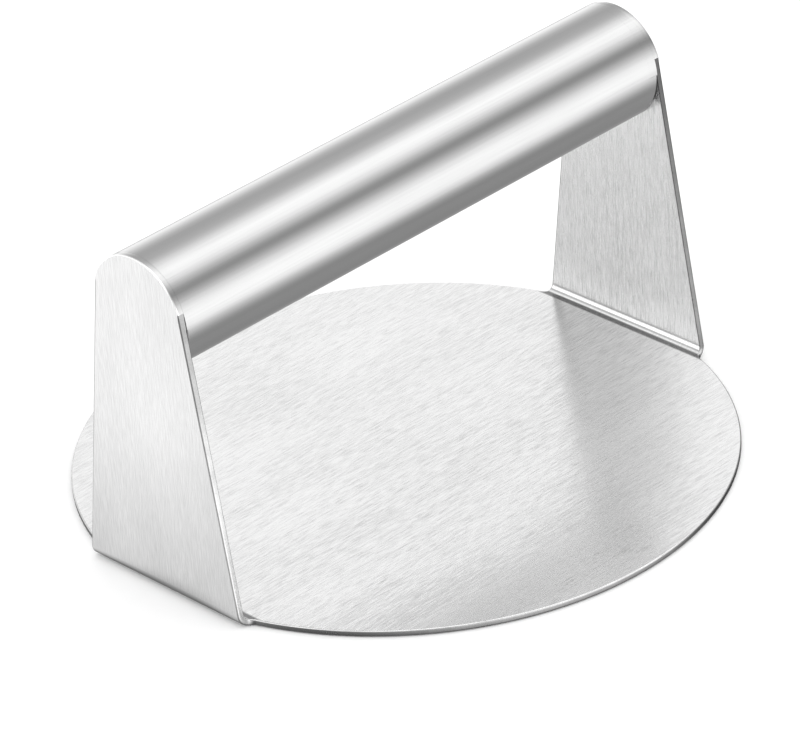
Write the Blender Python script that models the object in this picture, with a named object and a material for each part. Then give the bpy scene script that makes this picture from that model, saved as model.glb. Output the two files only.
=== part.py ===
"""Round bacon press: one sheet folded into a plate with two uprights, and a tube handle welded between them.

X runs along the handle, the front is -Y and Z is up. The origin is the centre of the pressing face, which
is the underside of the plate. Lengths are in metres and angles in degrees.
"""

import math

import bmesh
import bpy
from mathutils import Vector

# The sheet, which is cut out flat and has both uprights folded up out of it
PLATE_RADIUS = 0.070
SHEET = 0.0014
FOLD_RADIUS = 0.0015  # on the inside of the fold
UPRIGHT_OUTER_X = 0.0692
UPRIGHT_FOOT_HALF_WIDTH = 0.0217  # just above the fold
FOOT_FILLET = 0.0020  # radius between the plate's rim and an upright's side
SHOULDER_ANGLE = 18.0  # above the tube's horizontal, where an upright's straight side meets its rounded top

# The handle, a hollow tube whose ends stand against the uprights' inner faces
HANDLE_AXIS_Z = 0.0647
TUBE_RADIUS = 0.01265
TUBE_WALL = 0.0012

# The welds, which fill a groove over the upper half of each end of the tube and are ground flush with it
WELD_WIDTH = 0.0018  # along the tube, at its surface
WELD_ROOT_WIDTH = 0.0006
WELD_DEPTH = 0.0006
WELD_END = 2.0  # where a weld starts and stops, above the tube's horizontal

GAP = 0.0003  # between neighbouring pieces
CUTTER_REACH = 0.001  # how far a cutter stands out of what it cuts

RIM_STEPS = 30  # in a quarter of the plate's rim
FILLET_STEPS = 4
FOLD_STEPS = 8
ARCH_STEPS = 16  # in half of an upright's rounded top
TUBE_STEPS = 72
WELD_STEPS = 36

# Worked out from the dimensions above
UPRIGHT_INNER_X = UPRIGHT_OUTER_X - SHEET
FOLD_START = UPRIGHT_INNER_X - FOLD_RADIUS
FOLD_LENGTH = (FOLD_RADIUS + SHEET / 2) * math.pi / 2
FOLD_TOP_Z = SHEET + FOLD_RADIUS
UPRIGHT_START = FOLD_START + FOLD_LENGTH
ARCH_CENTRE = UPRIGHT_START + HANDLE_AXIS_Z - FOLD_TOP_Z


def arc(centre, radius, start, end, steps):
    """Points along an arc, with both ends. The angles are in radians."""
    angles = [start + (end - start) * step / steps for step in range(steps + 1)]
    return [centre + radius * Vector((math.cos(angle), math.sin(angle))) for angle in angles]


def bearing(vector):
    return math.atan2(vector.y, vector.x)


def front_arch():
    """The front half of the right-hand upright's rounded top in the flat sheet, from shoulder to top.

    It has the tube's own radius and axis, so the two can be ground flush.
    """
    shoulder = math.radians(SHOULDER_ANGLE) - math.pi / 2
    return arc(Vector((ARCH_CENTRE, 0.0)), TUBE_RADIUS, shoulder, 0.0, ARCH_STEPS)


def fillet_centre(foot, along, outward):
    """Centre of the fillet that touches the plate's rim from outside and the upright's side."""
    start = foot + outward * FOOT_FILLET
    reach = PLATE_RADIUS + FOOT_FILLET
    middle = -start.dot(along)
    nearest = start + middle * along
    return nearest + along * math.sqrt(reach**2 - nearest.length_squared)


def front_right_quarter():
    """The flat outline from the plate's front to the middle of the right-hand upright's top."""
    foot = Vector((UPRIGHT_START, -UPRIGHT_FOOT_HALF_WIDTH))
    arch = front_arch()
    along = (arch[0] - foot).normalized()
    outward = Vector((along.y, -along.x))
    fillet = fillet_centre(foot, along, outward)
    origin = Vector((0.0, 0.0))
    rim = arc(origin, PLATE_RADIUS, -math.pi / 2, bearing(fillet), RIM_STEPS)
    corner = arc(fillet, FOOT_FILLET, bearing(-fillet), bearing(-outward), FILLET_STEPS)
    return rim + corner[1:] + arch


def flat_outline():
    """The whole outline of the sheet before folding, anticlockwise from above."""
    quarter = front_right_quarter()
    right = quarter + [Vector((p.x, -p.y)) for p in reversed(quarter[:-1])]
    return right + [Vector((-p.x, p.y)) for p in reversed(right[1:-1])]


def folded(point):
    """Where a point of the flat sheet goes when both uprights are folded up by 90 degrees."""
    side = math.copysign(1.0, point.x)
    along = abs(point.x) - FOLD_START
    if along <= 0.0:
        return point.copy()
    radius = FOLD_TOP_Z - point.z
    if along >= FOLD_LENGTH:
        return Vector((side * (FOLD_START + radius), point.y, FOLD_TOP_Z + along - FOLD_LENGTH))
    angle = math.pi / 2 * along / FOLD_LENGTH
    x = FOLD_START + radius * math.sin(angle)
    return Vector((side * x, point.y, FOLD_TOP_Z - radius * math.cos(angle)))


def finish_mesh(name, mesh_data, material):
    """Writes a bmesh into a new object with its faces outward, smooth except at sharp edges."""
    bmesh.ops.recalc_face_normals(mesh_data, faces=mesh_data.faces)
    mesh = bpy.data.meshes.new(name)
    mesh_data.to_mesh(mesh)
    mesh_data.free()
    mesh.shade_smooth()
    mesh.set_sharp_from_angle(angle=math.radians(30.0))
    mesh.materials.append(material)
    piece = bpy.data.objects.new(name, mesh)
    bpy.context.scene.collection.objects.link(piece)
    return piece


def steel(name, colour, roughness):
    material = bpy.data.materials.new(name)
    material.use_nodes = True
    shader = material.node_tree.nodes["Principled BSDF"]
    shader.inputs["Base Color"].default_value = (*colour, 1.0)
    shader.inputs["Metallic"].default_value = 1.0
    shader.inputs["Roughness"].default_value = roughness
    return material


def folded_plate():
    """The plate and both uprights, which are one sheet."""
    sheet = bmesh.new()
    sheet.faces.new([sheet.verts.new((p.x, p.y, 0.0)) for p in flat_outline()])
    for side in (-1.0, 1.0):
        for step in range(FOLD_STEPS + 1):
            line = side * (FOLD_START + FOLD_LENGTH * step / FOLD_STEPS)
            parts = sheet.verts[:] + sheet.edges[:] + sheet.faces[:]
            bmesh.ops.bisect_plane(sheet, geom=parts, plane_co=(line, 0.0, 0.0), plane_no=(1.0, 0.0, 0.0))
    extruded = bmesh.ops.extrude_face_region(sheet, geom=sheet.faces[:], use_keep_orig=True)
    top = [item for item in extruded["geom"] if isinstance(item, bmesh.types.BMVert)]
    bmesh.ops.translate(sheet, verts=top, vec=(0.0, 0.0, SHEET))
    for vertex in sheet.verts:
        vertex.co = folded(vertex.co)
    finish_mesh("folded_plate", sheet, steel("brushed_sheet", (0.70, 0.70, 0.71), 0.38))


def spun(profile, start, sweep, steps):
    """A closed profile of (x, radius) points, turned about the handle's axis from start, in degrees."""
    solid = bmesh.new()
    direction = Vector((0.0, math.cos(math.radians(start)), math.sin(math.radians(start))))
    axis_point = Vector((0.0, 0.0, HANDLE_AXIS_Z))
    points = [axis_point + Vector((x, 0.0, 0.0)) + radius * direction for x, radius in profile]
    first = [solid.verts.new(point) for point in points]
    edges = [solid.edges.new((a, b)) for a, b in zip(first, first[1:] + first[:1])]
    whole = sweep == 360.0
    result = bmesh.ops.spin(
        solid,
        geom=first + edges,
        cent=axis_point,
        axis=(1.0, 0.0, 0.0),
        angle=math.radians(sweep),
        steps=steps,
        use_merge=whole,
    )
    if not whole:
        solid.faces.new(first)
        last = [item for item in result["geom_last"] if isinstance(item, bmesh.types.BMEdge)]
        bmesh.ops.contextual_create(solid, geom=last)
    return solid


def weld_groove(side):
    """Cutter for the groove that a weld fills, wider than the weld by the gap."""
    root_start = UPRIGHT_INNER_X - GAP - WELD_ROOT_WIDTH - GAP
    root_radius = TUBE_RADIUS - WELD_DEPTH - GAP
    flare = (WELD_WIDTH - WELD_ROOT_WIDTH) / (TUBE_RADIUS - root_radius)
    outside_x = UPRIGHT_INNER_X + CUTTER_REACH
    outside_radius = TUBE_RADIUS + CUTTER_REACH
    start = root_start - flare * (outside_radius - root_radius)
    profile = [
        (side * outside_x, outside_radius),
        (side * start, outside_radius),
        (side * root_start, root_radius),
        (side * outside_x, root_radius),
    ]
    first = WELD_END - math.degrees(GAP / TUBE_RADIUS)
    solid = spun(profile, first, 180.0 - 2 * first, WELD_STEPS)
    cutter = finish_mesh("groove_cutter", solid, steel("groove", (0.6, 0.6, 0.6), 0.4))
    cutter.hide_render = True
    cutter.display_type = "WIRE"
    return cutter


def handle_tube():
    """The hollow handle, open at both square ends, with a groove for each weld."""
    end = UPRIGHT_INNER_X - GAP
    inner_radius = TUBE_RADIUS - TUBE_WALL
    profile = [(end, TUBE_RADIUS), (end, inner_radius), (-end, inner_radius), (-end, TUBE_RADIUS)]
    solid = spun(profile, 0.0, 360.0, TUBE_STEPS)
    tube = finish_mesh("handle_tube", solid, steel("polished_tube", (0.66, 0.66, 0.67), 0.22))
    for side in (-1.0, 1.0):
        cut = tube.modifiers.new("weld_groove", "BOOLEAN")
        cut.operation = "DIFFERENCE"
        cut.solver = "EXACT"
        cut.object = weld_groove(side)


def weld(name, side):
    """A bead that closes the joint between the tube and an upright, over the top of the handle."""
    end = UPRIGHT_INNER_X - GAP
    root_radius = TUBE_RADIUS - WELD_DEPTH
    profile = [
        (side * end, TUBE_RADIUS),
        (side * (end - WELD_WIDTH), TUBE_RADIUS),
        (side * (end - WELD_ROOT_WIDTH), root_radius),
        (side * end, root_radius),
    ]
    solid = spun(profile, WELD_END, 180.0 - 2 * WELD_END, WELD_STEPS)
    finish_mesh(name, solid, steel(name, (0.62, 0.61, 0.60), 0.34))


for leftover in list(bpy.data.objects):
    bpy.data.objects.remove(leftover)

folded_plate()
handle_tube()
weld("left_weld", -1.0)
weld("right_weld", 1.0)
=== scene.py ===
import math

import bmesh
import bpy
from mathutils import Matrix, Vector


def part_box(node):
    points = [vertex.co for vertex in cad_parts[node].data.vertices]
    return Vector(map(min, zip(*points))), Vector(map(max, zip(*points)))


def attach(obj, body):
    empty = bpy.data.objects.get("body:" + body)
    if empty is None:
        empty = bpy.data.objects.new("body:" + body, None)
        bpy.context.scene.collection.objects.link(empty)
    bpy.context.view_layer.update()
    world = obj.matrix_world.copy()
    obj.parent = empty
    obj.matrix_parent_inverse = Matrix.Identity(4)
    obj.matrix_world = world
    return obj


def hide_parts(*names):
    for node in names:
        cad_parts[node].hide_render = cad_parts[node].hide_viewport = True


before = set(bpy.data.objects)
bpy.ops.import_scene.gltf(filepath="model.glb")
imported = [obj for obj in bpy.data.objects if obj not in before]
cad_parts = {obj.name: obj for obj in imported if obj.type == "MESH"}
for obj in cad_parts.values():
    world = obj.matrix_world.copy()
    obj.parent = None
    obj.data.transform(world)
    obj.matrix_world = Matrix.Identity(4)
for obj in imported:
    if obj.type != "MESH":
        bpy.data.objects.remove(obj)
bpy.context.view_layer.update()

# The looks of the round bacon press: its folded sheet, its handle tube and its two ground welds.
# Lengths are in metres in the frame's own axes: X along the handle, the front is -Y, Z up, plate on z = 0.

MM = 0.001
TOLERANCE = 0.01 * MM

# ---- Sizes read from the frame ----

SHEET_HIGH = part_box("folded_plate")[1]
TUBE_LOW, TUBE_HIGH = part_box("handle_tube")
SHEET_POINTS = [vertex.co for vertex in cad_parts["folded_plate"].data.vertices]


def level(z):
    """The CAD sheet's points at one height."""
    return [p for p in SHEET_POINTS if abs(p.z - z) < TOLERANCE]


PLATE_RADIUS = SHEET_HIGH.y
SHEET = min(p.z for p in SHEET_POINTS if p.z > TOLERANCE and abs(p.x) < PLATE_RADIUS / 2)
FOLD_START = max(p.x for p in level(SHEET))
FOLD_RADIUS = SHEET_HIGH.x - SHEET - FOLD_START
FOLD_LENGTH = (FOLD_RADIUS + SHEET / 2) * math.pi / 2
FOLD_TOP = SHEET + FOLD_RADIUS
UPRIGHT_START = FOLD_START + FOLD_LENGTH
FOOT_HALF_WIDTH = max(p.y for p in level(FOLD_TOP))
TUBE_RADIUS = (TUBE_HIGH.y - TUBE_LOW.y) / 2
AXIS_Z = (TUBE_LOW.z + TUBE_HIGH.z) / 2
ARCH_CENTRE = UPRIGHT_START + AXIS_Z - FOLD_TOP
INNER_X = SHEET_HIGH.x - SHEET
BEVEL_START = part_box("right_weld")[0].x  # where the surface of the tube ends and the weld begins

# ---- Details finer than the frame ----

FOOT_FILLET = 2.0 * MM
SHOULDER_ANGLE = math.radians(18.0)  # where an upright's straight side meets its rounded top
OUTER_EDGE = 0.42 * MM  # rounding of the cut edge towards the underside and the uprights' outer faces
ARCH_EDGE = 0.22 * MM  # the same on the ground arches
INNER_EDGE = 0.25 * MM  # rounding towards the top of the plate and the uprights' inner faces
WELDED_EDGE = 0.02 * MM  # what is left of it under a weld
WELDED_BLEND = 0.3 * MM  # half the stretch over which it changes
ARCH_BLEND = 1.0 * MM  # the same for the outer edge
WELD_END = math.radians(2.0)  # the welds stop where the tube's surface leaves the uprights' sides
POINT_STEP = 1.0 * MM  # along the sheet's outline
ARC_POINT_STEP = 0.35 * MM  # along its small arcs
EDGE_STEPS = 4
FOLD_STEPS = 18
SHOULDER_X = ARCH_CENTRE + TUBE_RADIUS * math.sin(SHOULDER_ANGLE)  # in the flat sheet
WELD_END_X = ARCH_CENTRE + TUBE_RADIUS * math.sin(WELD_END)

FULL_TURN = 2 * math.pi
TUBE_STEPS = 720
WELD_STEPS = 352
TUBE_WALL = 1.2 * MM
TUBE_GAP = 0.12 * MM  # between the tube's end and the upright
TUBE_END = INNER_X - TUBE_GAP
TUBE_EDGE = 0.16 * MM
BEVEL_DEPTH = 0.75 * MM
WELD_RUNOUT = math.radians(14.0)  # over which the weld thins out at each end
SEAM = 0.01 * MM  # between the tube's surface and the ground weld
SHARP_ANGLE = math.radians(10.0)


def smoothstep(low, high, value):
    share = min(1.0, max(0.0, (value - low) / (high - low)))
    return share * share * (3 - 2 * share)


# ---- Shapes: the folded sheet ----

def polar(centre, radius, angle):
    return centre + radius * Vector((math.cos(angle), math.sin(angle)))


def arc(centre, radius, start, end, spacing):
    steps = max(2, round(abs(end - start) * radius / spacing))
    return [polar(centre, radius, start + (end - start) * step / steps) for step in range(steps + 1)]


def straight(start, end, spacing):
    steps = max(2, round((end - start).length / spacing))
    return [start.lerp(end, step / steps) for step in range(steps + 1)]


def bearing(vector):
    return math.atan2(vector.y, vector.x)


def front_right_quarter():
    """The flat outline, from the plate's front to the middle of the right-hand upright's top."""
    arch_centre = Vector((ARCH_CENTRE, 0.0))
    arch = arc(arch_centre, TUBE_RADIUS, SHOULDER_ANGLE - math.pi / 2, 0.0, ARC_POINT_STEP)
    foot = Vector((UPRIGHT_START, -FOOT_HALF_WIDTH))
    along = (arch[0] - foot).normalized()
    outward = Vector((along.y, -along.x))
    offset_foot = foot + outward * FOOT_FILLET
    nearest = offset_foot - offset_foot.dot(along) * along
    reach = PLATE_RADIUS + FOOT_FILLET
    fillet_centre = nearest + along * math.sqrt(reach**2 - nearest.length_squared)
    rim = arc(Vector((0.0, 0.0)), PLATE_RADIUS, -math.pi / 2, bearing(fillet_centre), POINT_STEP)
    fillet = arc(fillet_centre, FOOT_FILLET, bearing(-fillet_centre), bearing(-outward), ARC_POINT_STEP)
    side = straight(fillet[-1], arch[0], POINT_STEP)
    return rim + fillet[1:] + side[1:-1] + arch


def flat_outline():
    """The whole flat outline, anticlockwise from above."""
    quarter = front_right_quarter()
    right = quarter + [Vector((p.x, -p.y)) for p in reversed(quarter[:-1])]
    return right + [Vector((-p.x, p.y)) for p in reversed(right[1:-1])]


def inward_normals(outline):
    """The outline's inward unit normal at each of its points."""
    normals = []
    for index, point in enumerate(outline):
        before = (point - outline[index - 1]).normalized()
        after = (outline[(index + 1) % len(outline)] - point).normalized()
        along = (before + after).normalized()
        normals.append(Vector((-along.y, along.x)))
    return normals


def inner_rounding(point):
    """Radius of the inner edge, which a weld fills."""
    share = smoothstep(WELD_END_X - WELDED_BLEND, WELD_END_X + WELDED_BLEND, abs(point.x))
    return INNER_EDGE + (WELDED_EDGE - INNER_EDGE) * share


def outer_rounding(point):
    """Radius of the outer edge, which is smaller where the arches are ground."""
    share = smoothstep(SHOULDER_X - ARCH_BLEND, SHOULDER_X + ARCH_BLEND, abs(point.x))
    return OUTER_EDGE + (ARCH_EDGE - OUTER_EDGE) * share


def edge_profile(inner_radius, outer_radius):
    """(inset, height) points round the sheet's edge, from its inner face to its outer face."""
    points = []
    for step in range(EDGE_STEPS + 1):
        angle = math.pi / 2 * (1 - step / EDGE_STEPS)
        points.append((inner_radius * (1 - math.cos(angle)), SHEET - inner_radius * (1 - math.sin(angle))))
    for step in range(EDGE_STEPS + 1):
        angle = math.pi / 2 * step / EDGE_STEPS
        points.append((outer_radius * (1 - math.cos(angle)), outer_radius * (1 - math.sin(angle))))
    return points


def folded(point):
    """Where a point of the flat sheet goes when both uprights are folded up."""
    side = math.copysign(1.0, point.x)
    along = abs(point.x) - FOLD_START
    radius = FOLD_TOP - point.z
    if along <= 0.0:
        return point.copy()
    if along >= FOLD_LENGTH:
        return Vector((side * (FOLD_START + radius), point.y, FOLD_TOP + along - FOLD_LENGTH))
    angle = math.pi / 2 * along / FOLD_LENGTH
    x = side * (FOLD_START + radius * math.sin(angle))
    return Vector((x, point.y, FOLD_TOP - radius * math.cos(angle)))


def new_piece(name, mesh_data, materials):
    """Writes a bmesh into an object of the scene."""
    mesh = bpy.data.meshes.new(name)
    mesh_data.to_mesh(mesh)
    mesh_data.free()
    for material in materials:
        mesh.materials.append(material)
    mesh.shade_smooth()
    piece = bpy.data.objects.new(name, mesh)
    bpy.context.scene.collection.objects.link(piece)
    return piece


def keep_faces_flat(piece):
    """Keeps broad faces flat where they run into narrow rounded edges."""
    modifier = piece.modifiers.new("flat_faces", "WEIGHTED_NORMAL")
    modifier.weight = 100
    modifier.keep_sharp = True


def flat_sheet_mesh():
    """The sheet before folding, with rounded cut edges. Materials: 0 for faces, 1 for edges, 2 for arches."""
    sheet = bmesh.new()
    outline = flat_outline()
    rings = []
    for point, inward in zip(outline, inward_normals(outline)):
        profile = edge_profile(inner_rounding(point), outer_rounding(point))
        rings.append([sheet.verts.new((*(point + inset * inward), height)) for inset, height in profile])
    for ring, following in zip(rings, rings[1:] + rings[:1]):
        for step in range(len(ring) - 1):
            face = sheet.faces.new((ring[step], ring[step + 1], following[step + 1], following[step]))
            on_arch = abs(face.calc_center_median().x) > SHOULDER_X
            towards_outside = step > EDGE_STEPS
            face.material_index = (0 if towards_outside else 2) if on_arch else 1
    sheet.faces.new([ring[0] for ring in rings])
    sheet.faces.new([ring[-1] for ring in reversed(rings)])
    return sheet


def cut_across(sheet, x):
    """Adds a line of points across the sheet, where it bends."""
    parts = sheet.verts[:] + sheet.edges[:] + sheet.faces[:]
    bmesh.ops.bisect_plane(sheet, geom=parts, plane_co=(x, 0.0, 0.0), plane_no=(1.0, 0.0, 0.0))


def keep_flat_places(sheet):
    """Stores each point's place before folding, for the grain, and a map that runs across the grain."""
    flat = sheet.verts.layers.float_vector.new("flat")
    across = sheet.loops.layers.uv.new("across_grain")
    for vertex in sheet.verts:
        vertex[flat] = vertex.co
    for face in sheet.faces:
        for loop in face.loops:
            loop[across].uv = (loop.vert.co.y, loop.vert.co.x)


def folded_sheet(face_material, edge_material, arch_material):
    """The plate and both uprights as one sheet, folded up."""
    sheet = flat_sheet_mesh()
    for side in (-1.0, 1.0):
        for step in range(FOLD_STEPS + 1):
            cut_across(sheet, side * (FOLD_START + FOLD_LENGTH * step / FOLD_STEPS))
    keep_flat_places(sheet)
    for vertex in sheet.verts:
        vertex.co = folded(vertex.co)
    bmesh.ops.recalc_face_normals(sheet, faces=sheet.faces)
    piece = new_piece("press_sheet", sheet, (face_material, edge_material, arch_material))
    keep_faces_flat(piece)
    return piece


# ---- Shapes: the tube and its welds ----

def turned(profile_at, start, sweep, steps):
    """Closed (x, radius) profiles, one for each angle, turned about the handle's axis.

    The angles go anticlockwise from +Y, seen from the right.
    """
    solid = bmesh.new()
    whole = sweep == FULL_TURN
    centre = Vector((0.0, 0.0, AXIS_Z))
    rings = []
    for step in range(steps if whole else steps + 1):
        angle = start + sweep * step / steps
        outward = Vector((0.0, math.cos(angle), math.sin(angle)))
        points = [centre + Vector((x, 0.0, 0.0)) + radius * outward for x, radius in profile_at(angle)]
        rings.append([solid.verts.new(point) for point in points])
    pairs = list(zip(rings, rings[1:]))
    if whole:
        pairs.append((rings[-1], rings[0]))
    for ring, following in pairs:
        for index in range(len(ring)):
            after = (index + 1) % len(ring)
            solid.faces.new((ring[index], ring[after], following[after], following[index]))
    if not whole:
        solid.faces.new(rings[0])
        solid.faces.new(list(reversed(rings[-1])))
    bmesh.ops.recalc_face_normals(solid, faces=solid.faces)
    return solid


def weld_depth(angle):
    """How deep the weld sits in the tube at one angle. It runs out towards its ends."""
    from_top = abs(math.pi / 2 - angle % FULL_TURN)
    weld_half = math.pi / 2 - WELD_END
    return BEVEL_DEPTH * (1 - smoothstep(weld_half - WELD_RUNOUT, weld_half, from_top))


def tube_profile(angle):
    """The tube's section at one angle. Its ends dip under the welds, and elsewhere have a small bevel."""
    dip = weld_depth(angle)
    half = [
        (BEVEL_START - SEAM - TUBE_EDGE, TUBE_RADIUS),
        (BEVEL_START - SEAM, TUBE_RADIUS),
        (TUBE_END - TUBE_EDGE, TUBE_RADIUS - dip),
        (TUBE_END, TUBE_RADIUS - max(dip, TUBE_EDGE)),
        (TUBE_END, TUBE_RADIUS - TUBE_WALL),
    ]
    return half + [(-x, radius) for x, radius in reversed(half)]


def handle_tube(material):
    """The hollow tube, dished at each end where the weld sits."""
    piece = new_piece("press_tube", turned(tube_profile, 0.0, FULL_TURN, TUBE_STEPS), (material,))
    piece.data.set_sharp_from_angle(angle=SHARP_ANGLE)
    return piece


def ground_weld(name, side, material):
    """The bead between the tube and an upright, ground flush with both."""
    inner_end = INNER_X - SEAM

    def profile_at(angle):
        root = TUBE_RADIUS - max(weld_depth(angle) - SEAM, SEAM)
        return [
            (side * inner_end, TUBE_RADIUS),
            (side * BEVEL_START, TUBE_RADIUS),
            (side * (TUBE_END - TUBE_EDGE), root),
            (side * inner_end, root),
        ]

    piece = new_piece(name, turned(profile_at, WELD_END, math.pi - 2 * WELD_END, WELD_STEPS), (material,))
    piece.data.set_sharp_from_angle(angle=SHARP_ANGLE)
    return piece


# ---- Materials ----

# Streaks: length, width, turn, detail and seed
FINE_STREAKS = (3.8 * MM, 0.20 * MM, math.radians(0.8), 2.0, 0.11)
MIDDLE_STREAKS = (8.0 * MM, 0.31 * MM, math.radians(-1.6), 1.0, 0.43)
LONG_STREAKS = (22.0 * MM, 0.9 * MM, math.radians(0.6), 2.0, 0.77)
SHEET_CLOUDS = (50.0 * MM, 18.0 * MM, 0.0, 2.0, 0.23)
POLISHING_LINES = (34.0 * MM, 0.30 * MM, 0.0, 2.0, 0.31)
STREAK_ROUGHNESS = 0.6
SEED_SLANT = 0.37  # a seed's shift across the streaks, as a share of its shift along them
NOISE_MEAN = 0.5
FINE_SHARE = 0.64
MIDDLE_SHARE = 0.25
LONG_SHARE = 0.11
CLOUD_SHARE = 0.10
MAIN_SHARE = 0.6  # of the first of two noises that are mixed
RELIEF = 0.02 * MM

# The sheet's faces: ranges of the noise, and the reflectance and roughness that they stand for
FACE_TONE = (0.392, 0.548)
FACE_REFLECTANCE = (0.68, 1.0)
FACE_CUT = (0.38, 0.60)
FACE_ROUGHNESS = (0.32, 0.17)
FACE_BUMP = 0.30
FACE_ANISOTROPY = 0.50
UNDERSIDE_COARSENESS = 0.33  # of the grain on the side that becomes the plate's underside
FOLD_GRAIN = 0.25  # of the grain left in the fold
FOLD_GRAIN_REACH = (FOLD_LENGTH * 0.4, FOLD_LENGTH * 0.8)  # from the middle of the fold
FOLD_CREASE_SHADE = 0.28  # of the reflectance in the painted shade along the inside of each fold
FOLD_CREASE_SHADE_REACH = (0.45 * MM, 1.10 * MM)
HEAT_TINT_AND_SHADE = 0.30  # of the reflectance in the heat tint and the painted shade of the crevice
TINT_AND_SHADE_REACH = (TUBE_RADIUS + 0.4 * MM, TUBE_RADIUS + 2.2 * MM)  # from the handle's axis
TINT_AND_SHADE_FOOT = (-6.5 * MM, -4.5 * MM)  # where it fades out downwards, from the height of the axis

# The cut edge and the polished pieces
EVEN_TONE = (0.35, 0.65)
EDGE_TONE = (0.86, 1.14)
EDGE_ROUGHNESS = (0.28, 0.20)
EDGE_BUMP = 0.2
EDGE_BLOTCHES = (160.0, 3.0)  # scale per metre, and detail
EDGE_SPECKLES = (3200.0, 2.0)
EDGE_LOW = 12.0 * MM
EDGE_HEIGHT_SHADE = (0.60, 0.235)  # painted shade, as a share of the reflectance, from there to the height of the handle's axis
EDGE_RIGHT_SHADE = 0.30  # painted shade: the share of that on the right-hand upright
EDGE_SIDE = 20.0 * MM  # from the middle, where the change is complete
POLISHED_BUMP = 0.02
POLISHED_CLOUDS = (45.0, 3.0)
ROUGHNESS_PLAY = 0.02
TUBE_LOOK = ((0.380, 0.401), 0.17)  # reflectances and roughness
GROUND_LOOK = ((0.372, 0.405), 0.175)


def add(tree, kind, inputs=None, **settings):
    """Adds a node, sets its properties, and links or sets its inputs."""
    node = tree.nodes.new(kind)
    for name, value in settings.items():
        setattr(node, name, value)
    for name, value in (inputs or {}).items():
        if isinstance(value, bpy.types.NodeSocket):
            tree.links.new(value, node.inputs[name])
        else:
            node.inputs[name].default_value = value
    return node


def maths(tree, operation, *values):
    inputs = dict(enumerate(values))
    return add(tree, "ShaderNodeMath", inputs, operation=operation).outputs[0]


def vector_maths(tree, operation, output, *values):
    return add(tree, "ShaderNodeVectorMath", dict(enumerate(values)), operation=operation).outputs[output]


def total(tree, *values):
    result = values[0]
    for value in values[1:]:
        result = maths(tree, "ADD", result, value)
    return result


def product(tree, *values):
    result = values[0]
    for value in values[1:]:
        result = maths(tree, "MULTIPLY", result, value)
    return result


def weighted(tree, *values_and_shares):
    return total(tree, *[product(tree, value, share) for value, share in values_and_shares])


def span(tree, value, from_low, from_high, to_low, to_high, smooth=False):
    """A value's place in one range carried over to another."""
    inputs = {"Value": value, 1: from_low, 2: from_high, 3: to_low, 4: to_high}
    kind = "SMOOTHSTEP" if smooth else "LINEAR"
    return add(tree, "ShaderNodeMapRange", inputs, interpolation_type=kind).outputs["Result"]


def position(tree):
    return add(tree, "ShaderNodeNewGeometry").outputs["Position"]


def parts_of(tree, vector):
    """A vector's X, Y and Z."""
    return add(tree, "ShaderNodeSeparateXYZ", {0: vector}).outputs


def grey(tree, value):
    """A neutral colour from one value."""
    return add(tree, "ShaderNodeCombineColor", {"Red": value, "Green": value, "Blue": value}).outputs[0]


def noise(tree, place, scale, detail, roughness=0.5):
    inputs = {"Vector": place, "Scale": scale, "Detail": detail, "Roughness": roughness}
    return add(tree, "ShaderNodeTexNoise", inputs).outputs["Fac"]


def streaks(tree, place, length, width, turn, detail, seed):
    """Grain along the first axis of place: noise stretched to length by width, turned by an angle."""
    inputs = {
        "Vector": place,
        "Location": (seed, seed * SEED_SLANT, 0.0),
        "Rotation": (0.0, 0.0, turn),
        "Scale": (length, width, width),
    }
    stretched = add(tree, "ShaderNodeMapping", inputs, vector_type="TEXTURE").outputs[0]
    return noise(tree, stretched, 1.0, detail, STREAK_ROUGHNESS)


def new_material(name):
    material = bpy.data.materials.new(name)
    material.use_nodes = True
    return material, material.node_tree, material.node_tree.nodes["Principled BSDF"]


def link_steel(tree, shader, reflectance, roughness, height, bump):
    """Sets a shader up as bare steel with a fine relief."""
    tree.links.new(grey(tree, reflectance), shader.inputs["Base Color"])
    tree.links.new(roughness, shader.inputs["Roughness"])
    relief = add(tree, "ShaderNodeBump", {"Strength": bump, "Distance": RELIEF, "Height": height})
    tree.links.new(relief.outputs[0], shader.inputs["Normal"])
    shader.inputs["Metallic"].default_value = 1.0


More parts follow.
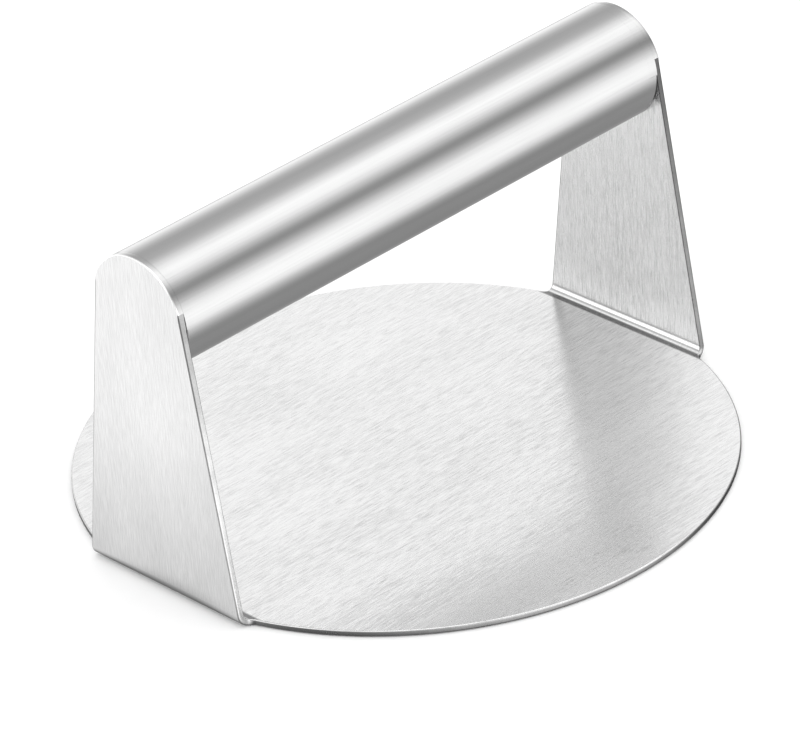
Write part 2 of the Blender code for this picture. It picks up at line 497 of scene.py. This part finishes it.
def brushed_face_material():
    """Brushed stainless: short overlapping streaks along the sheet's first axis, which the fold carries up.

    The side that becomes the top of the plate is brushed more coarsely than the other.
    """
    material, tree, shader = new_material("brushed_face")
    place = add(tree, "ShaderNodeAttribute", attribute_name="flat").outputs["Vector"]
    parts = parts_of(tree, place)
    from_middle = maths(tree, "ABSOLUTE", parts["X"])
    grain = weighted(
        tree,
        (streaks(tree, place, *FINE_STREAKS), FINE_SHARE),
        (streaks(tree, place, *MIDDLE_STREAKS), MIDDLE_SHARE),
        (streaks(tree, place, *LONG_STREAKS), LONG_SHARE),
    )
    coarseness = span(tree, parts["Z"], 0.0, SHEET, UNDERSIDE_COARSENESS, 1.0)
    coarseness = product(tree, coarseness, fold_smoothing(tree, from_middle))
    from_mean = maths(tree, "SUBTRACT", grain, NOISE_MEAN)
    cut = maths(tree, "MULTIPLY_ADD", from_mean, coarseness, NOISE_MEAN)
    cloud = streaks(tree, place, *SHEET_CLOUDS)
    toned = weighted(tree, (cloud, CLOUD_SHARE), (cut, 1.0 - CLOUD_SHARE))
    # Painted shade in the folds and beside the tube, together with the weld's heat tint
    tint_and_painted_shade = product(tree, fold_crease_shade(tree, from_middle, parts["Z"]), heat_tint_and_crevice_shade(tree, parts))
    reflectance = product(tree, span(tree, toned, *FACE_TONE, *FACE_REFLECTANCE), tint_and_painted_shade)
    roughness = span(tree, cut, *FACE_CUT, *FACE_ROUGHNESS)
    link_steel(tree, shader, reflectance, roughness, cut, FACE_BUMP)
    tangent = add(tree, "ShaderNodeTangent", direction_type="UV_MAP", uv_map="across_grain")
    tree.links.new(tangent.outputs[0], shader.inputs["Tangent"])
    shader.inputs["Anisotropic"].default_value = FACE_ANISOTROPY
    return material


def underneath(tree, height):
    """1 on the side of the flat sheet that becomes the plate's underside, 0 on the other."""
    return span(tree, height, 0.0, SHEET, 1.0, 0.0)


def fold_smoothing(tree, from_middle):
    """The folding tool smooths the grain in the fold."""
    from_fold = maths(tree, "SUBTRACT", from_middle, FOLD_START + FOLD_LENGTH / 2)
    return span(tree, maths(tree, "ABSOLUTE", from_fold), *FOLD_GRAIN_REACH, FOLD_GRAIN, 1.0)


def fold_crease_shade(tree, from_middle, height):
    """Painted shade: a dark line on top of the plate, along the inside of each fold."""
    distance = maths(tree, "ABSOLUTE", maths(tree, "SUBTRACT", from_middle, FOLD_START))
    line = span(tree, distance, *FOLD_CREASE_SHADE_REACH, FOLD_CREASE_SHADE, 1.0, smooth=True)
    return maths(tree, "MAXIMUM", line, underneath(tree, height))


def heat_tint_and_crevice_shade(tree, parts):
    """A dark heat tint, together with painted shade of the crevice, on the uprights' inner faces beside the
    tube, down to a little below the weld's end.
    """
    along = maths(tree, "SUBTRACT", maths(tree, "ABSOLUTE", parts["X"]), ARCH_CENTRE)
    from_arch = add(tree, "ShaderNodeCombineXYZ", {"X": along, "Y": parts["Y"]}).outputs[0]
    from_axis = vector_maths(tree, "LENGTH", "Value", from_arch)
    beside = span(tree, from_axis, *TINT_AND_SHADE_REACH, HEAT_TINT_AND_SHADE, 1.0, smooth=True)
    below = span(tree, along, *TINT_AND_SHADE_FOOT, 1.0, 0.0, smooth=True)
    elsewhere = maths(tree, "MAXIMUM", below, underneath(tree, parts["Z"]))
    return maths(tree, "MAXIMUM", beside, elsewhere)


def cut_edge_material():
    """The cut edge: deburred and finely speckled, with painted shade that makes it darker high up and on the
    right-hand upright.
    """
    material, tree, shader = new_material("cut_edge")
    place = position(tree)
    parts = parts_of(tree, place)
    blotch = noise(tree, place, *EDGE_BLOTCHES)
    speckle = noise(tree, place, *EDGE_SPECKLES)
    toned = weighted(tree, (blotch, MAIN_SHARE), (speckle, 1.0 - MAIN_SHARE))
    # Painted shade: darker towards the height of the handle's axis and on the right-hand upright, except
    # along the plate's rim
    higher = span(tree, parts["Z"], EDGE_LOW, AXIS_Z, *EDGE_HEIGHT_SHADE)
    to_right = span(tree, parts["X"], -EDGE_SIDE, EDGE_SIDE, 1.0, EDGE_RIGHT_SHADE)
    rim = span(tree, parts["Z"], SHEET, FOLD_TOP, 1.0, 0.0)
    painted_edge_shade = product(tree, higher, maths(tree, "MAXIMUM", to_right, rim))
    reflectance = product(tree, span(tree, toned, *EVEN_TONE, *EDGE_TONE), painted_edge_shade)
    roughness = span(tree, toned, *EVEN_TONE, *EDGE_ROUGHNESS)
    link_steel(tree, shader, reflectance, roughness, speckle, EDGE_BUMP)
    return material


def polished_material(name, reflectances, roughness):
    """Satin-polished steel with faint lines along the handle and a slightly uneven sheen."""
    material, tree, shader = new_material(name)
    place = position(tree)
    lines = streaks(tree, place, *POLISHING_LINES)
    cloud = noise(tree, place, *POLISHED_CLOUDS)
    toned = weighted(tree, (lines, MAIN_SHARE), (cloud, 1.0 - MAIN_SHARE))
    reflectance = span(tree, toned, *EVEN_TONE, *reflectances)
    uneven = span(tree, toned, *EVEN_TONE, roughness + ROUGHNESS_PLAY, roughness - ROUGHNESS_PLAY)
    link_steel(tree, shader, reflectance, uneven, lines, POLISHED_BUMP)
    return material


# ---- Stage: floor, light and camera ----

# Long strip lights parallel to the handle: bearing from the front horizon, half-width of the bright core and
# half-width of the whole glow, all in degrees, and brightness. The last one is a dark screen behind.
FRONT_STRIP = (-10.4, 4.8, 53.5, 2.00)
TOP_STRIP = (77.9, 1.9, 43.5, 1.66)
BACK_STRIP = (187.8, 4.1, 52.9, 0.83)
DARK_SCREEN = (200.0, 39.0, 97.4, -0.605)
BACK_STRIP_FOOT = (-0.34, -0.22)  # upward part of the directions in which the floor hides the back strip

# The room, in shares of its light and parts of the direction in which it is seen
ROOM = 0.90
ROOM_SLOPE = 0.48  # how much brighter the room is behind than across
DIM_SIDE = 0.20  # of the room on the camera's side
DIM_BELOW = 0.48  # the same below the horizon
DIM_SIDE_SPAN = (-0.75, -0.15)
HORIZON = (-0.1, 0.1)
DIM_FAR = 0.25  # of the room at the far end
DIM_FAR_SPAN = (0.68, 0.90)

# Soft round lights: place for a camera at -X, cosines where each starts and is full, and brightness
NEAR_GLOW = (Vector((-0.59, 0.62, -0.50)), 0.70, 0.97, 0.55)
KEY_GLOW = (Vector((-0.905, 0.421, 0.053)), 0.80, 0.95, 1.20)

# How the light suits the camera's place, which is given by parts of the direction in which it stands
CAMERA_SIDE_SPAN = (-0.4, 0.4)
LOW_CAMERA = (0.30, 0.50)
GLOWS_FROM_LOW = 0.30  # of the soft round lights for a low camera
DIM_FROM_LOW = 0.80  # of everything for a low camera
OVERHEAD_CAMERA = (0.62, 0.90)
DIM_FROM_ABOVE = 0.36  # of everything for a camera overhead, which sees the top strip in the plate

DAYLIGHT = 1.35  # on the floor
FLOOR_WHITE = (0.9, 0.9, 0.9, 1.0)
FLOOR_SIZE = 6.0
FLOOR_DROP = 0.1 * MM
CONTACT_SHADOW = 0.70  # painted shadow in the floor's glow, as a share of its brightness close to the press
CONTACT_SHADOW_REACH = 55.0 * MM
RIM_SHADE = 0.35  # of that, right beside the plate's rim
RIM_SHADE_REACH = 4.5 * MM

# The tray that shades the underside of the handle
UNDER_HANDLE = 0.82  # of the studio's light, for directions that go steeply down
UNDER_HANDLE_SPAN = (-0.3, -0.6)
SHADE_DROP = 6.0 * MM
SHADE_HALF_DEPTH = 34.0 * MM
SHADE_END_GAP = 0.15 * MM

# The screens inside the uprights, which give the plate a dark reflection
SCREEN_DARK = 0.55  # brightness away from the camera
SCREEN_RISE = 0.29  # from there to the near edge
SCREEN_CURVE = 3.0
SCREEN_HALF_WIDTH = 18.0 * MM  # over which it rises
SCREEN_EDGE = -0.16  # along the edge away from the camera
SCREEN_EDGE_WIDTH = (4.0 * MM, 0.8 * MM)
SCREEN_TOP_RISE = 0.16
SCREEN_TOP_START = 0.65  # of the screen's height, where it starts
SCREEN_TOP_DROP = 2.0 * MM
SCREEN_OVERLAP = 1.8 * MM
CARD_GAP = 0.2 * MM

# The card above the plate, which gives the far upright a bright reflection
PLATE_GLOW = 0.645  # its least brightness
PLATE_GLOW_AT_FOLD = 1.22  # of that, right beside the folds
PLATE_GLOW_REACH = 12.0 * MM
PLATE_SHARE = 0.80  # of the studio's light in it

CAMERA_PLACE = Vector((-0.6796, -0.7221, 0.5980))
CAMERA_AIM = Vector((0.0, 0.0, 0.0200))
CAMERA_ROLL = math.radians(-4.14)
CAMERA_LENS = 249.4
CAMERA_SENSOR = 36.0
CAMERA_RANGE = (0.05, 20.0)


def camera_side(tree):
    """The direction in which the camera stands, in parts, so that the studio can be set up to suit it."""
    settings = {"vector_type": "POINT", "convert_from": "CAMERA", "convert_to": "WORLD"}
    place = add(tree, "ShaderNodeVectorTransform", {"Vector": (0.0, 0.0, 0.0)}, **settings).outputs[0]
    return parts_of(tree, vector_maths(tree, "NORMALIZE", 0, place))


def camera_sign(tree, axis):
    """1 for a camera on the negative side of an axis and -1 on the positive side."""
    return span(tree, camera_side(tree)[axis], *CAMERA_SIDE_SPAN, 1.0, -1.0)


def facing_camera_side(tree, direction):
    """The direction mirrored if need be, so that the camera always stands at -X and -Y."""
    parts = parts_of(tree, direction)
    mirrored = {"Z": parts["Z"]}
    for axis in ("X", "Y"):
        mirrored[axis] = product(tree, camera_sign(tree, axis), parts[axis])
    return add(tree, "ShaderNodeCombineXYZ", mirrored).outputs[0]


def strip(tree, across, settings):
    """Brightness of a long strip light, seen along a direction that is flattened across the handle."""
    centre, core, reach = (math.radians(angle) for angle in settings[:3])
    pointing = (0.0, -math.cos(centre), math.sin(centre))
    angle = maths(tree, "ARCCOSINE", vector_maths(tree, "DOT_PRODUCT", "Value", across, pointing))
    return span(tree, angle, reach, core, 0.0, settings[3], smooth=True)


def glow(tree, direction, settings):
    """Brightness of a soft round light."""
    place, start, full, strength = settings
    nearness = vector_maths(tree, "DOT_PRODUCT", "Value", direction, place.normalized())
    return span(tree, nearness, start, full, 0.0, strength, smooth=True)


def studio_light(tree, direction):
    """What the press sees: a pale room with long strips, dimmer on the camera's side and at the far end."""
    seen = facing_camera_side(tree, direction)
    flattened = vector_maths(tree, "MULTIPLY", 0, seen, (0.0, 1.0, 1.0))
    across = vector_maths(tree, "NORMALIZE", 0, flattened)
    across_parts = parts_of(tree, across)
    along = parts_of(tree, seen)["X"]
    room = maths(tree, "MULTIPLY_ADD", across_parts["Y"], ROOM_SLOPE, ROOM)
    above_floor = span(tree, across_parts["Z"], *BACK_STRIP_FOOT, 0.0, 1.0, smooth=True)
    back = product(tree, strip(tree, across, BACK_STRIP), above_floor)
    around = total(tree, room, strip(tree, across, FRONT_STRIP), back, strip(tree, across, DARK_SCREEN))
    least = span(tree, across_parts["Z"], *HORIZON, DIM_BELOW, DIM_SIDE)
    near = span(tree, along, *DIM_SIDE_SPAN, least, 1.0, smooth=True)
    far = span(tree, along, *DIM_FAR_SPAN, 1.0, DIM_FAR, smooth=True)
    lit = product(tree, far, total(tree, product(tree, around, near), strip(tree, across, TOP_STRIP)))
    glows = total(tree, glow(tree, seen, NEAR_GLOW), glow(tree, seen, KEY_GLOW))
    camera_height = camera_side(tree)["Z"]
    glows = product(tree, glows, span(tree, camera_height, *LOW_CAMERA, GLOWS_FROM_LOW, 1.0))
    low = span(tree, camera_height, *LOW_CAMERA, DIM_FROM_LOW, 1.0)
    high = span(tree, camera_height, *OVERHEAD_CAMERA, 1.0, DIM_FROM_ABOVE)
    return product(tree, low, high, total(tree, lit, glows))


def studio_world():
    """The camera sees plain white, reflections see the studio, and the floor gets even daylight."""
    world = bpy.data.worlds.new("studio")
    world.use_nodes = True
    tree = world.node_tree
    direction = add(tree, "ShaderNodeTexCoord").outputs["Generated"]
    path = add(tree, "ShaderNodeLightPath").outputs
    even = {"Factor": path["Is Glossy Ray"], "A": DAYLIGHT, "B": studio_light(tree, direction)}
    lit = add(tree, "ShaderNodeMix", even, data_type="FLOAT").outputs["Result"]
    white = {"Factor": path["Is Camera Ray"], "A": lit, "B": 1.0}
    shown = add(tree, "ShaderNodeMix", white, data_type="FLOAT").outputs["Result"]
    tree.links.new(grey(tree, shown), tree.nodes["Background"].inputs["Color"])
    bpy.context.scene.world = world


def stage_sheet(name, corners, material):
    """A flat sheet with four corners that belongs to the stage."""
    mesh = bpy.data.meshes.new(name)
    mesh.from_pydata(corners, [], [(0, 1, 2, 3)])
    mesh.materials.append(material)
    sheet = bpy.data.objects.new(name, mesh)
    bpy.context.scene.collection.objects.link(sheet)
    return sheet


def stage_material(name):
    """An empty material, its tree, its output and the direction in which the press looks at it."""
    material = bpy.data.materials.new(name)
    material.use_nodes = True
    tree = material.node_tree
    tree.nodes.remove(tree.nodes["Principled BSDF"])
    incoming = add(tree, "ShaderNodeNewGeometry").outputs["Incoming"]
    direction = vector_maths(tree, "MULTIPLY", 0, incoming, (-1.0, -1.0, -1.0))
    return material, tree, tree.nodes["Material Output"].inputs["Surface"], direction


def either(tree, factor, off, on):
    """One shader where factor is 0, another where it is 1."""
    return add(tree, "ShaderNodeMixShader", {0: factor, 1: off.outputs[0], 2: on.outputs[0]})


def floor():
    """A plain white floor to the camera, which reflections see as a glow with a painted contact shadow round
    the press. It isn't there for a camera that looks from below.
    """
    material, tree, surface, direction = stage_material("floor_white")
    diffuse = add(tree, "ShaderNodeBsdfDiffuse", {"Color": FLOOR_WHITE})
    distance = vector_maths(tree, "LENGTH", "Value", position(tree))
    # Painted shadow: the floor's glow in reflections is darker close to the press and right beside the
    # plate's rim
    near = span(tree, distance, PLATE_RADIUS, PLATE_RADIUS + CONTACT_SHADOW_REACH, CONTACT_SHADOW, 1.0)
    beside = span(tree, distance, PLATE_RADIUS, PLATE_RADIUS + RIM_SHADE_REACH, RIM_SHADE, 1.0)
    brightness = product(tree, studio_light(tree, direction), near, beside)
    mirrored = add(tree, "ShaderNodeEmission", {"Color": grey(tree, brightness)})
    seen = either(tree, add(tree, "ShaderNodeLightPath").outputs["Is Glossy Ray"], diffuse, mirrored)
    above = maths(tree, "GREATER_THAN", camera_side(tree)["Z"], 0.0)
    shown = either(tree, above, add(tree, "ShaderNodeBsdfTransparent"), seen)
    tree.links.new(shown.outputs[0], surface)
    half, z = FLOOR_SIZE / 2, -FLOOR_DROP
    stage_sheet("floor", [(-half, -half, z), (half, -half, z), (half, half, z), (-half, half, z)], material)


def card_material(name, brightness_for, hidden_for):
    """A material for a card that glows towards some reflections and isn't there for the others."""
    material, tree, surface, direction = stage_material(name)
    glowing = add(tree, "ShaderNodeEmission", {"Color": grey(tree, brightness_for(tree, direction))})
    hidden = hidden_for(tree, parts_of(tree, facing_camera_side(tree, direction)))
    shown = either(tree, hidden, glowing, add(tree, "ShaderNodeBsdfTransparent"))
    tree.links.new(shown.outputs[0], surface)
    return material


def reflection_card(name, corners, material):
    """A card that only reflections see."""
    card = stage_sheet(name, corners, material)
    card.visible_camera = False
    card.visible_diffuse = False
    card.visible_shadow = False
    card.visible_transmission = False


def underside_shade():
    """A tray round the underside of the handle, for reflections that go down and away from the camera's side.

    It shows what is beyond it, and keeps the plate and the far upright out of the handle's reflections.
    """
    def brightness(tree, direction):
        dimmed = span(tree, parts_of(tree, direction)["Z"], *UNDER_HANDLE_SPAN, 1.0, UNDER_HANDLE)
        return product(tree, studio_light(tree, direction), dimmed)

    def hidden(tree, parts):
        towards = maths(tree, "LESS_THAN", parts["X"], 0.0)
        return maths(tree, "MAXIMUM", towards, maths(tree, "GREATER_THAN", parts["Z"], 0.0))

    material = card_material("shade", brightness, hidden)
    end = TUBE_HIGH.x + SHADE_END_GAP
    low = AXIS_Z - TUBE_RADIUS - SHADE_DROP
    high = AXIS_Z + SHADE_DROP
    depth = SHADE_HALF_DEPTH
    bottom = [(-end, -depth, low), (end, -depth, low), (end, depth, low), (-end, depth, low)]
    reflection_card("shade_bottom", bottom, material)
    for name, x in (("shade_left", -end), ("shade_right", end)):
        corners = [(x, -depth, low), (x, depth, low), (x, depth, high), (x, -depth, high)]
        reflection_card(name, corners, material)


def upright_half_width(z):
    """Half the width of an upright's inner face, whose sides are straight up to the shoulder."""
    shoulder_z = AXIS_Z + TUBE_RADIUS * math.sin(SHOULDER_ANGLE)
    shoulder_half = TUBE_RADIUS * math.cos(SHOULDER_ANGLE)
    share = (z - FOLD_TOP) / (shoulder_z - FOLD_TOP)
    return FOOT_HALF_WIDTH + (shoulder_half - FOOT_HALF_WIDTH) * share - INNER_EDGE


def screen_place(tree):
    """Height, and distance from the middle away from the camera, of a point on an upright's screen."""
    parts = parts_of(tree, position(tree))
    return parts["Z"], product(tree, parts["Y"], camera_sign(tree, "Y"))


def upright_screens():
    """Cards just inside the uprights, seen only in the plate.

    They set how dark the far upright's reflection is. On the camera's side they also cover the reflection of
    its cut edge.
    """
    top = AXIS_Z - SCREEN_TOP_DROP
    low_half = upright_half_width(FOLD_TOP)
    high_half = upright_half_width(top)

    def half_width(tree, height):
        return span(tree, height, FOLD_TOP, top, low_half, high_half)

    def brightness(tree, _direction):
        height, away = screen_place(tree)
        nearness = span(tree, away, SCREEN_HALF_WIDTH, -SCREEN_HALF_WIDTH, 0.0, 1.0)
        lighter = product(tree, maths(tree, "POWER", nearness, SCREEN_CURVE), SCREEN_RISE)
        from_edge = maths(tree, "SUBTRACT", half_width(tree, height), away)
        edge = span(tree, from_edge, *SCREEN_EDGE_WIDTH, 0.0, SCREEN_EDGE, smooth=True)
        higher = span(tree, height, SCREEN_TOP_START * top, top, 0.0, SCREEN_TOP_RISE)
        return total(tree, SCREEN_DARK, lighter, edge, higher)

    def hidden(tree, parts):
        height, away = screen_place(tree)
        beyond = maths(tree, "GREATER_THAN", away, half_width(tree, height))
        towards = maths(tree, "LESS_THAN", parts["X"], 0.0)
        downwards = maths(tree, "LESS_THAN", parts["Z"], 0.0)
        return maths(tree, "MAXIMUM", beyond, maths(tree, "MAXIMUM", towards, downwards))

    material = card_material("screen", brightness, hidden)
    low, high = low_half + SCREEN_OVERLAP, high_half + SCREEN_OVERLAP
    for name, x in (("screen_left", -INNER_X + CARD_GAP), ("screen_right", INNER_X - CARD_GAP)):
        corners = [(x, -low, FOLD_TOP), (x, low, FOLD_TOP), (x, high, top), (x, -high, top)]
        reflection_card(name, corners, material)


def plate_glow():
    """A card just above the plate, seen only in the far upright, whose lower part mirrors the plate."""
    def brightness(tree, direction):
        reflected = product(tree, studio_light(tree, direction), PLATE_SHARE)
        from_middle = maths(tree, "ABSOLUTE", parts_of(tree, position(tree))["X"])
        reach = FOLD_START - PLATE_GLOW_REACH
        at_fold = span(tree, from_middle, reach, FOLD_START, 1.0, PLATE_GLOW_AT_FOLD)
        return product(tree, maths(tree, "MAXIMUM", reflected, PLATE_GLOW), at_fold)

    def hidden(tree, parts):
        away = maths(tree, "GREATER_THAN", parts["X"], 0.0)
        return maths(tree, "MAXIMUM", away, maths(tree, "LESS_THAN", parts["Z"], 0.0))

    x, y, z = FOLD_START, PLATE_RADIUS, SHEET + CARD_GAP
    corners = [(-x, -y, z), (x, -y, z), (x, y, z), (-x, y, z)]
    reflection_card("plate_glow", corners, card_material("plate_glow", brightness, hidden))


def camera():
    forward = (CAMERA_AIM - CAMERA_PLACE).normalized()
    level_right = forward.cross(Vector((0.0, 0.0, 1.0))).normalized()
    level_up = level_right.cross(forward)
    right = math.cos(CAMERA_ROLL) * level_right + math.sin(CAMERA_ROLL) * level_up
    up = right.cross(forward)
    data = bpy.data.cameras.new("camera")
    data.lens = CAMERA_LENS
    data.sensor_width = CAMERA_SENSOR
    data.clip_start, data.clip_end = CAMERA_RANGE
    place = bpy.data.objects.new("camera", data)
    turn = Matrix((right, up, -forward)).transposed().to_4x4()
    place.matrix_world = Matrix.Translation(CAMERA_PLACE) @ turn
    bpy.context.scene.collection.objects.link(place)
    bpy.context.scene.camera = place


# ---- The press ----

tube_steel = polished_material("polished_tube", *TUBE_LOOK)
weld_steel = polished_material("ground_weld", *GROUND_LOOK)
arch_steel = polished_material("ground_arch", *GROUND_LOOK)

press_sheet = folded_sheet(brushed_face_material(), cut_edge_material(), arch_steel)
press_tube = handle_tube(tube_steel)
left_weld = ground_weld("press_left_weld", -1.0, weld_steel)
right_weld = ground_weld("press_right_weld", 1.0, weld_steel)

for piece, node, slot in (
    (press_sheet, "folded_plate", "brushed_sheet"),
    (press_tube, "handle_tube", "polished_tube"),
    (left_weld, "left_weld", "ground_weld"),
    (right_weld, "right_weld", "ground_weld"),
):
    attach(piece, "root")
    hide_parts(node)

studio_world()
floor()
underside_shade()
upright_screens()
plate_glow()
camera()
bpy.context.scene.view_settings.view_transform = "Standard"
